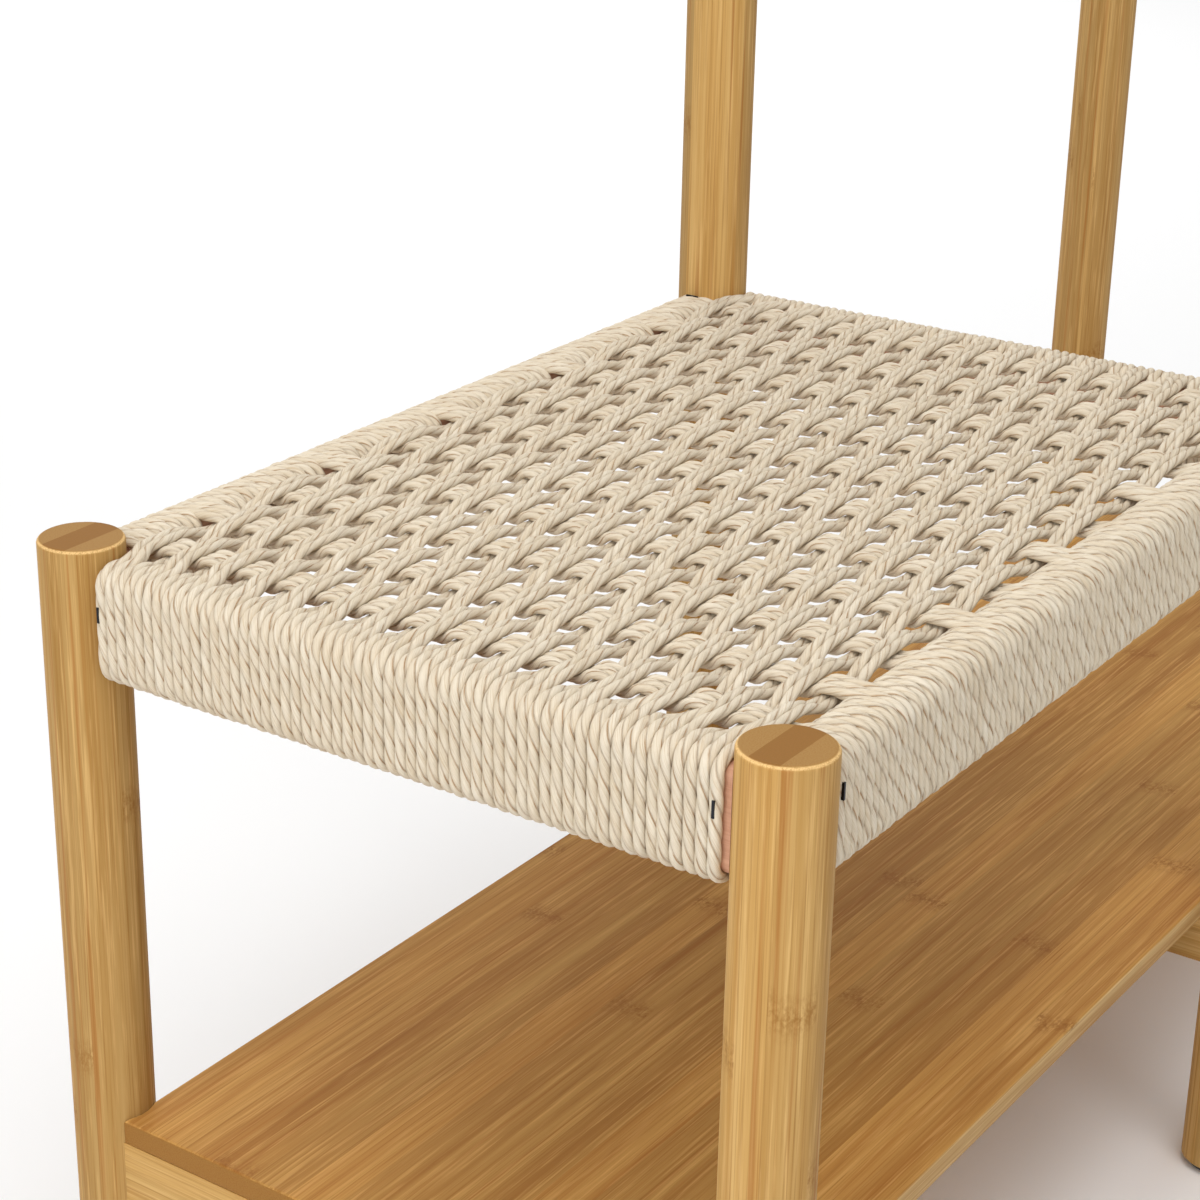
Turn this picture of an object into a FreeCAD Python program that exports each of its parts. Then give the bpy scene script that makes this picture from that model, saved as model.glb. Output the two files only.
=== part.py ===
import FreeCAD, Part
import os

# Entryway bench with a woven cord seat, a full-length shoe shelf and a coat rack.
# Millimetres. Origin: centre of the footprint, on the floor. +X runs along the bench
# to the right as seen from the front, the front faces -Y, and +Z is up.
# The seat fills the left bay. The right bay is open, for long coats and boots.

# ---- Posts ----
POST_RADIUS = 19.0
SEAT_BAY = 507.0            # post axis to post axis along X, under the woven seat
OPEN_BAY = 515.0            # post axis to post axis along X, under the coat rack
DEPTH_PITCH = 347.0         # front post axis to back post axis along Y
SHORT_TOP = 450.0
TALL_TOP = 1700.0
LOW_TOP = 215.0             # the front right post ends just above the shelf
RIM_FILLET = 2.0
FOOT_CHAMFER = 1.0
SPACE_ABOVE_POST = 10.0      # a cope or notch is cut this far past the post's top

# ---- Foot glides ----
GLIDE_RADIUS = 15.0
GLIDE_THICKNESS = 4.0
GLIDE_PIN_RADIUS = 3.0
GLIDE_PIN_LENGTH = 14.0
GLIDE_FILLET = 1.2

# ---- Seat rails and their cord covering ----
RAIL_THICKNESS = 14.0
RAIL_BOTTOM = 395.0
RAIL_TOP = 440.0
SIDE_RAIL_OUTSET = 9.2      # outer face of the two end rails, outside the post axes
LONG_RAIL_OUTSET = 7.0      # outer face of the front and back rails, outside the post axes
WRAP_THICKNESS = 4.8        # one layer of cord, slightly flattened
RAIL_ROUND = 5.0            # long edges of the rails, eased so that they don't cut the cords
WRAP_END_GAP = 0.4
FIT_GAP = 0.1               # glue or assembly gap between wooden parts
WEAVE_BOTTOM = 436.0
WEAVE_TOP = 445.5

# ---- Hooked nails that hold the cords on the inner faces of the end rails ----
NAIL_COUNT = 29
NAIL_RADIUS = 0.9
NAIL_BITE = 8.0             # length inside the rail
NAIL_REACH = 6.5            # length that stands out of the rail
NAIL_HOOK = 3.5
NAIL_HEIGHT = 414.0
INNER_LIP_TOP = 412.5       # the cords climb the inner face up to the nails

# ---- Staples on the cord ends ----
STAPLE_CROWN = 6.0
STAPLE_WIRE = 1.1
STAPLE_LEG = 10.0
STAPLE_PROUD = 0.3
STAPLE_FROM_POST = 2.6      # from the post's tangent to the middle of the last cord
STAPLE_RISE_SIDE = 6.0      # above the middle of an end rail
STAPLE_RISE_FACE = 9.0      # above the middle of the front or back rail

# ---- Shelf ----
SHELF_THICKNESS = 12.0
SHELF_TOP = 170.0
SHELF_DEPTH = 314.0
SHELF_NOTCH_GAP = 0.3
SHELF_EDGE_FILLET = 1.2
SHELF_RAIL_WIDTH = 22.0
SHELF_RAIL_HEIGHT = 32.0
SHELF_SCREW_INSET = 60.0    # from a post axis to the screw, along Y
SCREW_RADIUS = 2.0
SCREW_HEAD_RADIUS = 4.0
SCREW_HEAD_HEIGHT = 3.0
SCREW_BITE = 9.0            # length inside the board
SCREW_TIP_LENGTH = 3.0
SCREW_TIP_RADIUS = 0.3
SHELF_BOLT_SHARE = 0.62     # height of the bolt in a cross rail, as a share of the rail's height
SHELF_DOWEL_SHARE = 0.25    # height of the dowel, likewise

# ---- Dowels, connector bolts and barrel nuts ----
DOWEL_RADIUS = 4.0
DOWEL_IN_POST = 13.5
DOWEL_IN_RAIL = 24.0
DOWEL_SPREAD = 12.0         # each dowel's distance from the middle of a seat rail
BOLT_RADIUS = 3.0
BOLT_HEAD_RADIUS = 5.0
BOLT_HEAD_HEIGHT = 6.0
BOLT_RECESS = 7.0           # depth of the head's counterbore
BOLT_REACH = 40.0           # length of thread beyond the post, inside the rail
BOLT_CLEARANCE = 0.15
BOLT_HEAD_CLEARANCE = 0.6
BOLT_HOLE_EXTRA = 1.0       # depth of the hole past the bolt's tip, and of its mouth past the post
SOCKET_RADIUS = 2.3
SOCKET_DEPTH = 3.0
NUT_RADIUS = 5.0
NUT_LENGTH = 14.0
NUT_FROM_END = 32.0         # from the post's surface to the barrel nut's axis

# ---- Coat rack ----
BOARD_THICKNESS = 18.0
BOARD_HEIGHT = 80.0
BOARD_MIDDLE = 1560.0
BOARD_FILLET = 3.0
BOARD_BOLT_SPREAD = 22.0
TOP_RAIL_RADIUS = 12.5
TOP_RAIL_HEIGHT = 1655.0
TOP_RAIL_SOCKET = 10.0      # depth of the blind socket in each tall post
PEG_COUNT = 5
PEG_SHANK_RADIUS = 6.5
PEG_NECK_RADIUS = 5.5
PEG_HEAD_RADIUS = 12.0
PEG_HEAD_LENGTH = 14.0
PEG_HEAD_ROUND = 5.0
PEG_SHOULDER = 4.0
PEG_REACH = 62.0
PEG_BITE = 13.0
PEG_TILT = 12.0             # degrees upward
PEG_END_MARGIN = 70.0
PEG_SLIMMEST = 0.4          # place of the slimmest section, as a share of the neck's length
PEG_OVERLAP = 1.0           # length of the neck inside the head
PEG_HOLE_EXTRA = 10.0       # length of the hole's tool in front of the board

# ---- Places that follow from the sizes ----
X_LEFT = -(SEAT_BAY + OPEN_BAY) / 2
X_MIDDLE = X_LEFT + SEAT_BAY
X_RIGHT = X_MIDDLE + OPEN_BAY
Y_BACK = DEPTH_PITCH / 2
Y_FRONT = -Y_BACK
POSTS = {
    "back_left": (X_LEFT, Y_BACK, SHORT_TOP),
    "front_left": (X_LEFT, Y_FRONT, SHORT_TOP),
    "back_middle": (X_MIDDLE, Y_BACK, TALL_TOP),
    "front_middle": (X_MIDDLE, Y_FRONT, SHORT_TOP),
    "back_right": (X_RIGHT, Y_BACK, TALL_TOP),
    "front_right": (X_RIGHT, Y_FRONT, LOW_TOP),
}
RAIL_MIDDLE = (RAIL_BOTTOM + RAIL_TOP) / 2
SHELF_BOTTOM = SHELF_TOP - SHELF_THICKNESS
SHELF_RAIL_BOTTOM = SHELF_BOTTOM - SHELF_RAIL_HEIGHT
SHELF_BOLT_HEIGHT = SHELF_RAIL_BOTTOM + SHELF_BOLT_SHARE * SHELF_RAIL_HEIGHT
SHELF_DOWEL_HEIGHT = SHELF_RAIL_BOTTOM + SHELF_DOWEL_SHARE * SHELF_RAIL_HEIGHT

X_AXIS = FreeCAD.Vector(1, 0, 0)
Y_AXIS = FreeCAD.Vector(0, 1, 0)
Z_AXIS = FreeCAD.Vector(0, 0, 1)


def point(x, y, z):
    return FreeCAD.Vector(x, y, z)


def block(x0, x1, y0, y1, z0, z1):
    return Part.makeBox(x1 - x0, y1 - y0, z1 - z0, point(x0, y0, z0))


def rod(radius, start, end):
    """A round bar from one point to another."""
    run = end - start
    return Part.makeCylinder(radius, run.Length, start, run)


def fuse(shapes):
    whole = shapes[0]
    for shape in shapes[1:]:
        whole = whole.fuse(shape)
    return whole.removeSplitter()


def cut_all(shape, tools):
    for tool in tools:
        shape = shape.cut(tool)
    return shape


def level_edges(shape, z):
    """Edges that lie flat at height z."""
    return [e for e in shape.Edges if abs(e.BoundBox.ZMin - z) < 1e-4 and abs(e.BoundBox.ZMax - z) < 1e-4]


def edges_along(shape, axis):
    """The straight edges that run along one axis."""
    found = []
    for edge in shape.Edges:
        run = edge.Vertexes[-1].Point - edge.Vertexes[0].Point
        if run.Length > 0 and abs(run.dot(axis)) > 0.999 * run.Length:
            found.append(edge)
    return found


def save(name, shape):
    """Writes one sub-part. A list of solids becomes one node of separate solids."""
    if isinstance(shape, list):
        shape = Part.makeCompound(shape)
    if not shape.isValid():
        raise ValueError(name + " is not a valid shape")
    shape.exportStep("parts/" + name + ".step")
    print(name, "solids", len(shape.Solids), "volume cm3", round(shape.Volume / 1000, 2))


def post_space(name, gap):
    """The room that a post takes, used to cope rails and notch the shelf."""
    x, y, top = POSTS[name]
    return rod(POST_RADIUS + gap, point(x, y, 0), point(x, y, top + SPACE_ABOVE_POST))


# ---- Posts: plain round bars with a rounded top rim, drilled for what joins them ----

def make_post(name, holes):
    x, y, top = POSTS[name]
    bar = rod(POST_RADIUS, point(x, y, GLIDE_THICKNESS), point(x, y, top))
    bar = bar.makeFillet(RIM_FILLET, level_edges(bar, top))
    bar = bar.makeChamfer(FOOT_CHAMFER, level_edges(bar, GLIDE_THICKNESS))
    pin_hole = rod(GLIDE_PIN_RADIUS, point(x, y, 0), point(x, y, GLIDE_THICKNESS + GLIDE_PIN_LENGTH))
    return cut_all(bar, [pin_hole] + holes)


def make_glide(name):
    x, y = POSTS[name][:2]
    disc = rod(GLIDE_RADIUS, point(x, y, 0), point(x, y, GLIDE_THICKNESS))
    disc = disc.makeFillet(GLIDE_FILLET, level_edges(disc, 0))
    pin_top = point(x, y, GLIDE_THICKNESS + GLIDE_PIN_LENGTH)
    pin = rod(GLIDE_PIN_RADIUS, point(x, y, GLIDE_THICKNESS), pin_top)
    return fuse([disc, pin])


# ---- Seat frame: four rails, coped to the posts and held by two dowels at each end ----

def side_rail_span(x, outward):
    """Low and high X of an end rail. outward is -1 at the left end and +1 at the right."""
    outer = x + outward * SIDE_RAIL_OUTSET
    inner = outer - outward * RAIL_THICKNESS
    return min(outer, inner), max(outer, inner)


def long_rail_span(y, outward):
    """Low and high Y of the front or back rail."""
    outer = y + outward * LONG_RAIL_OUTSET
    inner = outer - outward * RAIL_THICKNESS
    return min(outer, inner), max(outer, inner)


def seat_dowels(middle, direction, post_names):
    """The four dowels of one rail. middle is the centre of the rail."""
    dowels = []
    for post_name in post_names:
        x, y = POSTS[post_name][:2]
        distance = (middle - point(x, y, middle.z)).dot(direction)
        into_rail = direction if distance > 0 else direction * -1
        surface = middle - into_rail * (abs(distance) - POST_RADIUS)
        for rise in (-DOWEL_SPREAD, DOWEL_SPREAD):
            start = surface - into_rail * DOWEL_IN_POST + Z_AXIS * rise
            end = surface + into_rail * DOWEL_IN_RAIL + Z_AXIS * rise
            dowels.append(rod(DOWEL_RADIUS, start, end))
    return dowels


def rail_bar(x0, x1, y0, y1, grow):
    """A seat rail, or the same shape grown all round its section, with its four long edges eased."""
    if y1 - y0 > x1 - x0:
        bar = block(x0 - grow, x1 + grow, y0, y1, RAIL_BOTTOM - grow, RAIL_TOP + grow)
        long_edges = edges_along(bar, Y_AXIS)
    else:
        bar = block(x0, x1, y0 - grow, y1 + grow, RAIL_BOTTOM - grow, RAIL_TOP + grow)
        long_edges = edges_along(bar, X_AXIS)
    return bar.makeFillet(RAIL_ROUND + grow, long_edges)


def make_side_wrap(outward, rail_span):
    """Cord covering of an end rail: over the top, down the outside, under, and up to the nails."""
    half = Y_BACK - POST_RADIUS - WRAP_END_GAP
    skin = rail_bar(rail_span[0], rail_span[1], -half, half, WRAP_THICKNESS)
    core = rail_bar(rail_span[0], rail_span[1], Y_FRONT, Y_BACK, FIT_GAP)
    reach = 2 * WRAP_THICKNESS
    if outward < 0:
        bare = block(rail_span[1], rail_span[1] + reach, Y_FRONT, Y_BACK, INNER_LIP_TOP, RAIL_TOP)
    else:
        bare = block(rail_span[0] - reach, rail_span[0], Y_FRONT, Y_BACK, INNER_LIP_TOP, RAIL_TOP)
    return cut_all(skin, [core, bare])


def make_long_wrap(rail_span):
    """Cord covering of the front or back rail: wound right round it."""
    x0 = X_LEFT + POST_RADIUS + WRAP_END_GAP
    x1 = X_MIDDLE - POST_RADIUS - WRAP_END_GAP
    skin = rail_bar(x0, x1, rail_span[0], rail_span[1], WRAP_THICKNESS)
    core = rail_bar(X_LEFT, X_MIDDLE, rail_span[0], rail_span[1], FIT_GAP)
    return skin.cut(core)


def make_nails(face_x, inward):
    """A row of hooked nails on the inner face of an end rail, one for each pair of cords."""
    first = Y_FRONT + POST_RADIUS
    pitch = (DEPTH_PITCH - 2 * POST_RADIUS) / NAIL_COUNT
    nails = []
    for i in range(NAIL_COUNT):
        y = first + (i + 0.5) * pitch
        start = point(face_x - inward * NAIL_BITE, y, NAIL_HEIGHT)
        bend = point(face_x + inward * NAIL_REACH, y, NAIL_HEIGHT)
        tip = bend + Z_AXIS * NAIL_HOOK
        corner = Part.makeSphere(NAIL_RADIUS, bend)
        nails.append(fuse([rod(NAIL_RADIUS, start, bend), corner, rod(NAIL_RADIUS, bend, tip)]))
    return nails


def bar_between(start, end, half):
    """A square bar, aligned with the axes, that reaches half a wire past both ends."""
    low = point(min(start.x, end.x), min(start.y, end.y), min(start.z, end.z))
    high = point(max(start.x, end.x), max(start.y, end.y), max(start.z, end.z))
    return block(low.x - half, high.x + half, low.y - half, high.y + half, low.z - half, high.z + half)


def make_staple(centre, outward, along):
    """A staple whose crown lies on the cord at centre. outward points away from the rail."""
    half_wire = STAPLE_WIRE / 2
    crown_middle = centre + outward * (STAPLE_PROUD - half_wire)
    ends = [crown_middle - along * (STAPLE_CROWN / 2), crown_middle + along * (STAPLE_CROWN / 2)]
    pieces = [bar_between(ends[0], ends[1], half_wire)]
    for end in ends:
        pieces.append(bar_between(end, end - outward * STAPLE_LEG, half_wire))
    return fuse(pieces)


def make_staples():
    """Three staples at each seat corner: on the end rail, on the long rail and on its top."""
    staples = []
    reach = POST_RADIUS + STAPLE_FROM_POST
    outer_z = RAIL_TOP + WRAP_THICKNESS
    side_out = SIDE_RAIL_OUTSET + WRAP_THICKNESS
    face_out = LONG_RAIL_OUTSET + WRAP_THICKNESS
    for x, sx in ((X_LEFT, -1), (X_MIDDLE, 1)):
        for y, sy in ((Y_BACK, 1), (Y_FRONT, -1)):
            side = point(x + sx * side_out, y - sy * reach, RAIL_MIDDLE + STAPLE_RISE_SIDE)
            staples.append(make_staple(side, X_AXIS * sx, Z_AXIS))
            face = point(x - sx * reach, y + sy * face_out, RAIL_MIDDLE + STAPLE_RISE_FACE)
            staples.append(make_staple(face, Y_AXIS * sy, Z_AXIS))
            top = point(x - sx * reach, y, outer_z)
            staples.append(make_staple(top, Z_AXIS, Y_AXIS))
    return staples


def make_weave(left_span, right_span, front_span, back_span):
    """The woven field between the covered rails."""
    x0 = left_span[1] + WRAP_THICKNESS + WRAP_END_GAP
    x1 = right_span[0] - WRAP_THICKNESS - WRAP_END_GAP
    y0 = front_span[1] + WRAP_THICKNESS + WRAP_END_GAP
    y1 = back_span[0] - WRAP_THICKNESS - WRAP_END_GAP
    field = block(x0, x1, y0, y1, WEAVE_BOTTOM, WEAVE_TOP)
    corners = ["back_left", "front_left", "back_middle", "front_middle"]
    return cut_all(field, [post_space(n, WRAP_END_GAP) for n in corners])


# ---- Shelf: one board notched past the posts, on three cross rails ----

def make_shelf(holes):
    half_length = X_RIGHT + SHELF_RAIL_WIDTH / 2
    half_depth = SHELF_DEPTH / 2
    board = block(-half_length, half_length, -half_depth, half_depth, SHELF_BOTTOM, SHELF_TOP)
    rims = level_edges(board, SHELF_TOP) + level_edges(board, SHELF_BOTTOM)
    board = board.makeFillet(SHELF_EDGE_FILLET, rims)
    notches = [post_space(n, SHELF_NOTCH_GAP) for n in POSTS]
    return cut_all(board, notches + holes)


def make_shelf_rail(x, front_name, back_name, holes):
    rail = block(x - SHELF_RAIL_WIDTH / 2, x + SHELF_RAIL_WIDTH / 2, Y_FRONT, Y_BACK,
                 SHELF_RAIL_BOTTOM, SHELF_BOTTOM)
    tools = [post_space(front_name, FIT_GAP), post_space(back_name, FIT_GAP)]
    return cut_all(rail, tools + holes)


def make_bolt(seat, direction, thread_end):
    """A socket-head bolt. seat is the middle of the underside of its head."""
    head_top = seat - direction * BOLT_HEAD_HEIGHT
    head = rod(BOLT_HEAD_RADIUS, head_top, seat)
    shank = rod(BOLT_RADIUS, seat, thread_end)
    socket = rod(SOCKET_RADIUS, head_top, head_top + direction * SOCKET_DEPTH)
    return fuse([head, shank]).cut(socket)


def make_nut(centre, bolt_axis, nut_axis):
    half = nut_axis * (NUT_LENGTH / 2)
    barrel = rod(NUT_RADIUS, centre - half, centre + half)
    bore = rod(BOLT_RADIUS, centre - bolt_axis * (2 * NUT_RADIUS), centre + bolt_axis * (2 * NUT_RADIUS))
    return barrel.cut(bore)


def bolted_joint(post_name, direction, height, nut_axis):
    """A bolt from the outside of a post into a barrel nut in the rail beyond it.
    Returns the bolt, the nut, the hole in the post and the holes in the rail."""
    x, y = POSTS[post_name][:2]
    axis_point = point(x, y, height)
    outside = axis_point - direction * (POST_RADIUS + BOLT_HOLE_EXTRA)
    seat = axis_point - direction * (POST_RADIUS - BOLT_RECESS)
    thread_end = axis_point + direction * (POST_RADIUS + BOLT_REACH)
    nut_centre = axis_point + direction * (POST_RADIUS + NUT_FROM_END)
    bolt = make_bolt(seat, direction, thread_end)
    nut = make_nut(nut_centre, direction, nut_axis)
    counterbore = rod(BOLT_HEAD_RADIUS + BOLT_HEAD_CLEARANCE, outside, seat)
    clearance = rod(BOLT_RADIUS + BOLT_CLEARANCE, seat, thread_end + direction * BOLT_HOLE_EXTRA)
    post_hole = fuse([counterbore, clearance])
    nut_half = nut_axis * (NUT_LENGTH / 2 + FIT_GAP)
    nut_hole = rod(NUT_RADIUS + FIT_GAP, nut_centre - nut_half, nut_centre + nut_half)
    return bolt, nut, post_hole, [clearance, nut_hole]


def make_screw(x, y):
    """A countersunk screw from under a cross rail up into the board."""
    bottom = point(x, y, SHELF_RAIL_BOTTOM)
    head = Part.makeCone(SCREW_HEAD_RADIUS, SCREW_RADIUS, SCREW_HEAD_HEIGHT, bottom, Z_AXIS)
    tip_start = point(x, y, SHELF_BOTTOM + SCREW_BITE - SCREW_TIP_LENGTH)
    shank = rod(SCREW_RADIUS, bottom + Z_AXIS * SCREW_HEAD_HEIGHT, tip_start)
    tip = Part.makeCone(SCREW_RADIUS, SCREW_TIP_RADIUS, SCREW_TIP_LENGTH, tip_start, Z_AXIS)
    return fuse([head, shank, tip])


# ---- Coat rack between the two tall posts ----

def make_coat_board(holes):
    board = block(X_MIDDLE, X_RIGHT, Y_BACK - BOARD_THICKNESS / 2, Y_BACK + BOARD_THICKNESS / 2,
                  BOARD_MIDDLE - BOARD_HEIGHT / 2, BOARD_MIDDLE + BOARD_HEIGHT / 2)
    board = board.makeFillet(BOARD_FILLET, edges_along(board, X_AXIS))
    tools = [post_space("back_middle", FIT_GAP), post_space("back_right", FIT_GAP)]
    return cut_all(board, tools + holes)


def make_peg(x):
    """A turned peg: shank in the board, slim neck and a rounded button head, tilted up."""
    head_start = PEG_REACH - PEG_HEAD_LENGTH
    shank = Part.makeCylinder(PEG_SHANK_RADIUS, PEG_BITE + PEG_SHOULDER, point(0, 0, -PEG_BITE))
    slope = head_start - PEG_SHOULDER
    narrowing = PEG_SLIMMEST * slope
    inner = Part.makeCone(PEG_SHANK_RADIUS, PEG_NECK_RADIUS, narrowing, point(0, 0, PEG_SHOULDER))
    outer = Part.makeCone(PEG_NECK_RADIUS, PEG_SHANK_RADIUS, slope - narrowing + PEG_OVERLAP,
                          point(0, 0, PEG_SHOULDER + narrowing))
    head = Part.makeCylinder(PEG_HEAD_RADIUS, PEG_HEAD_LENGTH, point(0, 0, head_start))
    head = head.makeFillet(PEG_HEAD_ROUND, level_edges(head, PEG_REACH) + level_edges(head, head_start))
    peg = fuse([shank, inner, outer, head])
    peg.rotate(point(0, 0, 0), X_AXIS, 90 - PEG_TILT)
    peg.translate(point(x, Y_BACK - BOARD_THICKNESS / 2, BOARD_MIDDLE))
    return peg


def peg_hole(x):
    hole = rod(PEG_SHANK_RADIUS, point(0, 0, -PEG_BITE), point(0, 0, PEG_HOLE_EXTRA))
    hole.rotate(point(0, 0, 0), X_AXIS, 90 - PEG_TILT)
    hole.translate(point(x, Y_BACK - BOARD_THICKNESS / 2, BOARD_MIDDLE))
    return hole


# ---- Build and write everything ----

def main():
    os.makedirs("parts", exist_ok=True)
    post_holes = {name: [] for name in POSTS}

    # Seat frame
    left_span = side_rail_span(X_LEFT, -1)
    right_span = side_rail_span(X_MIDDLE, 1)
    front_span = long_rail_span(Y_FRONT, -1)
    back_span = long_rail_span(Y_BACK, 1)
    seat_middle = (X_LEFT + X_MIDDLE) / 2
    rails = {
        "left_seat_rail": {
            "body": rail_bar(left_span[0], left_span[1], Y_FRONT, Y_BACK, 0),
            "middle": point(sum(left_span) / 2, 0, RAIL_MIDDLE),
            "direction": Y_AXIS,
            "posts": ["front_left", "back_left"],
        },
        "right_seat_rail": {
            "body": rail_bar(right_span[0], right_span[1], Y_FRONT, Y_BACK, 0),
            "middle": point(sum(right_span) / 2, 0, RAIL_MIDDLE),
            "direction": Y_AXIS,
            "posts": ["front_middle", "back_middle"],
        },
        "front_seat_rail": {
            "body": rail_bar(X_LEFT, X_MIDDLE, front_span[0], front_span[1], 0),
            "middle": point(seat_middle, sum(front_span) / 2, RAIL_MIDDLE),
            "direction": X_AXIS,
            "posts": ["front_left", "front_middle"],
        },
        "back_seat_rail": {
            "body": rail_bar(X_LEFT, X_MIDDLE, back_span[0], back_span[1], 0),
            "middle": point(seat_middle, sum(back_span) / 2, RAIL_MIDDLE),
            "direction": X_AXIS,
            "posts": ["back_left", "back_middle"],
        },
    }
    nails = make_nails(left_span[1], 1) + make_nails(right_span[0], -1)
    staples = make_staples()
    all_dowels = []
    for name, rail in rails.items():
        dowels = seat_dowels(rail["middle"], rail["direction"], rail["posts"])
        all_dowels.extend(dowels)
        for post_name in rail["posts"]:
            post_holes[post_name].extend(dowels)
        copes = [post_space(n, FIT_GAP) for n in rail["posts"]]
        body = cut_all(rail["body"], copes + dowels)
        near = [t for t in nails + staples if t.BoundBox.intersect(body.BoundBox)]
        save(name, cut_all(body, near))
    save("seat_rail_dowels", all_dowels)

    wraps = {
        "left_rail_wrap": make_side_wrap(-1, left_span),
        "right_rail_wrap": make_side_wrap(1, right_span),
        "front_rail_wrap": make_long_wrap(front_span),
        "back_rail_wrap": make_long_wrap(back_span),
    }
    for name, wrap in wraps.items():
        near = [s for s in staples if s.BoundBox.intersect(wrap.BoundBox)]
        save(name, cut_all(wrap, near))
    save("seat_weave", make_weave(left_span, right_span, front_span, back_span))
    save("cord_nails", nails)
    save("cord_staples", staples)

    # Shelf and its cross rails
    screws = []
    bolts = []
    nuts = []
    dowels = []
    columns = [
        ("left_shelf_rail", X_LEFT, "front_left", "back_left"),
        ("middle_shelf_rail", X_MIDDLE, "front_middle", "back_middle"),
        ("right_shelf_rail", X_RIGHT, "front_right", "back_right"),
    ]
    for name, x, front_name, back_name in columns:
        rail_holes = []
        for post_name, inward in ((front_name, Y_AXIS), (back_name, Y_AXIS * -1)):
            bolt, nut, post_hole, holes = bolted_joint(post_name, inward, SHELF_BOLT_HEIGHT, X_AXIS)
            bolts.append(bolt)
            nuts.append(nut)
            post_x, post_y = POSTS[post_name][:2]
            surface = point(post_x, post_y, SHELF_DOWEL_HEIGHT) + inward * POST_RADIUS
            dowel = rod(DOWEL_RADIUS, surface - inward * DOWEL_IN_POST, surface + inward * DOWEL_IN_RAIL)
            dowels.append(dowel)
            post_holes[post_name].extend([post_hole, dowel])
            rail_holes.extend(holes + [dowel])
        for y in (Y_FRONT + SHELF_SCREW_INSET + POST_RADIUS, Y_BACK - SHELF_SCREW_INSET - POST_RADIUS):
            screw = make_screw(x, y)
            screws.append(screw)
            rail_holes.append(screw)
        save(name, make_shelf_rail(x, front_name, back_name, rail_holes))
    save("lower_shelf", make_shelf(screws))
    save("shelf_screws", screws)
    save("shelf_rail_bolts", bolts)
    save("shelf_rail_nuts", nuts)
    save("shelf_rail_dowels", dowels)

    # Coat rack
    board_holes = []
    board_bolts = []
    board_nuts = []
    for post_name, inward in (("back_middle", X_AXIS), ("back_right", X_AXIS * -1)):
        for rise in (-BOARD_BOLT_SPREAD, BOARD_BOLT_SPREAD):
            bolt, nut, post_hole, holes = bolted_joint(post_name, inward, BOARD_MIDDLE + rise, Y_AXIS)
            board_bolts.append(bolt)
            board_nuts.append(nut)
            post_holes[post_name].append(post_hole)
            board_holes.extend(holes)
    span = X_RIGHT - X_MIDDLE - 2 * POST_RADIUS
    first = X_MIDDLE + POST_RADIUS + PEG_END_MARGIN
    pitch = (span - 2 * PEG_END_MARGIN) / (PEG_COUNT - 1)
    for i in range(PEG_COUNT):
        x = first + i * pitch
        save("coat_peg_" + str(i + 1), make_peg(x))
        board_holes.append(peg_hole(x))
    save("coat_board", make_coat_board(board_holes))
    save("coat_board_bolts", board_bolts)
    save("coat_board_nuts", board_nuts)
    bar_start = point(X_MIDDLE + POST_RADIUS - TOP_RAIL_SOCKET, Y_BACK, TOP_RAIL_HEIGHT)
    bar_end = point(X_RIGHT - POST_RADIUS + TOP_RAIL_SOCKET, Y_BACK, TOP_RAIL_HEIGHT)
    top_rail = rod(TOP_RAIL_RADIUS, bar_start, bar_end)
    save("top_rail", top_rail)
    post_holes["back_middle"].append(top_rail)
    post_holes["back_right"].append(top_rail)

    # Posts and glides, last, once every hole is known
    for name in POSTS:
        save(name + "_post", make_post(name, post_holes[name]))
        save(name + "_glide", make_glide(name))


main()
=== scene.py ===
import math

import bpy
import numpy as np
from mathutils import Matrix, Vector


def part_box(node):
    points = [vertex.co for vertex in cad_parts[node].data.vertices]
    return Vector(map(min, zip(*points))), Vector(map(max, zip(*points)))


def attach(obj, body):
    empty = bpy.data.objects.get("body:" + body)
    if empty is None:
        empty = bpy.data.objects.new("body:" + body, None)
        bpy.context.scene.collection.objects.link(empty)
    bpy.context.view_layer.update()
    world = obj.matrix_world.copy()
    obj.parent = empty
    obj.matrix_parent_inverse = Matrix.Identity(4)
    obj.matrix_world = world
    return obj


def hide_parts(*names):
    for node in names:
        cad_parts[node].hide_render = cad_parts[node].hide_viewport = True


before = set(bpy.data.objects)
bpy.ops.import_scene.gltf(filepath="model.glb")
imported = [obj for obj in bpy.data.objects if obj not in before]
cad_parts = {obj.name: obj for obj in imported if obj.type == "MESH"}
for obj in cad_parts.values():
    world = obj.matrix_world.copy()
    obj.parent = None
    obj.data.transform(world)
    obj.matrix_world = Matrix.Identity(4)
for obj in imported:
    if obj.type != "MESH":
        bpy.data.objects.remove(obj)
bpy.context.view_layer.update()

# Metres throughout. +X runs along the bench, the front faces -Y, +Z is up.
MM = 0.001
RNG = np.random.default_rng(11)

# ---- Cord ----
CORD_RADIUS = 2.85 * MM         # to the crest of a ply, where the cords lie on the rails
FIELD_RADIUS = 2.38 * MM        # the same in the seat, where the cord is pulled thinner
PLY_COUNT = 3
PLY_RADIUS = 0.72               # of the cord's radius
PLY_OFFSET = 0.28               # of the cord's radius
PLY_ANGLES = (-42, -18, 8, 34, 60)      # degrees around one ply where the surface is cut
TWIST_PITCH = 31 * MM           # one whole turn of the cord
TWIST_DRIFT = (30 * MM, 0.35)   # length over which the twist strays, and by how many radians
PLY_SWELL = (12 * MM, 0.03)     # length over which a ply grows thicker, and by what share
PLY_SEED_STEP = 0.37            # sets the plies of one cord apart in their colour
CORD_STEP = 1.8 * MM            # between two rings along the cord
ROUTE_STEP = 0.3 * MM           # between the points that round off the corners of a route
ROUTE_POINTS = 9                # how many of them the rounding spans
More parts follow.
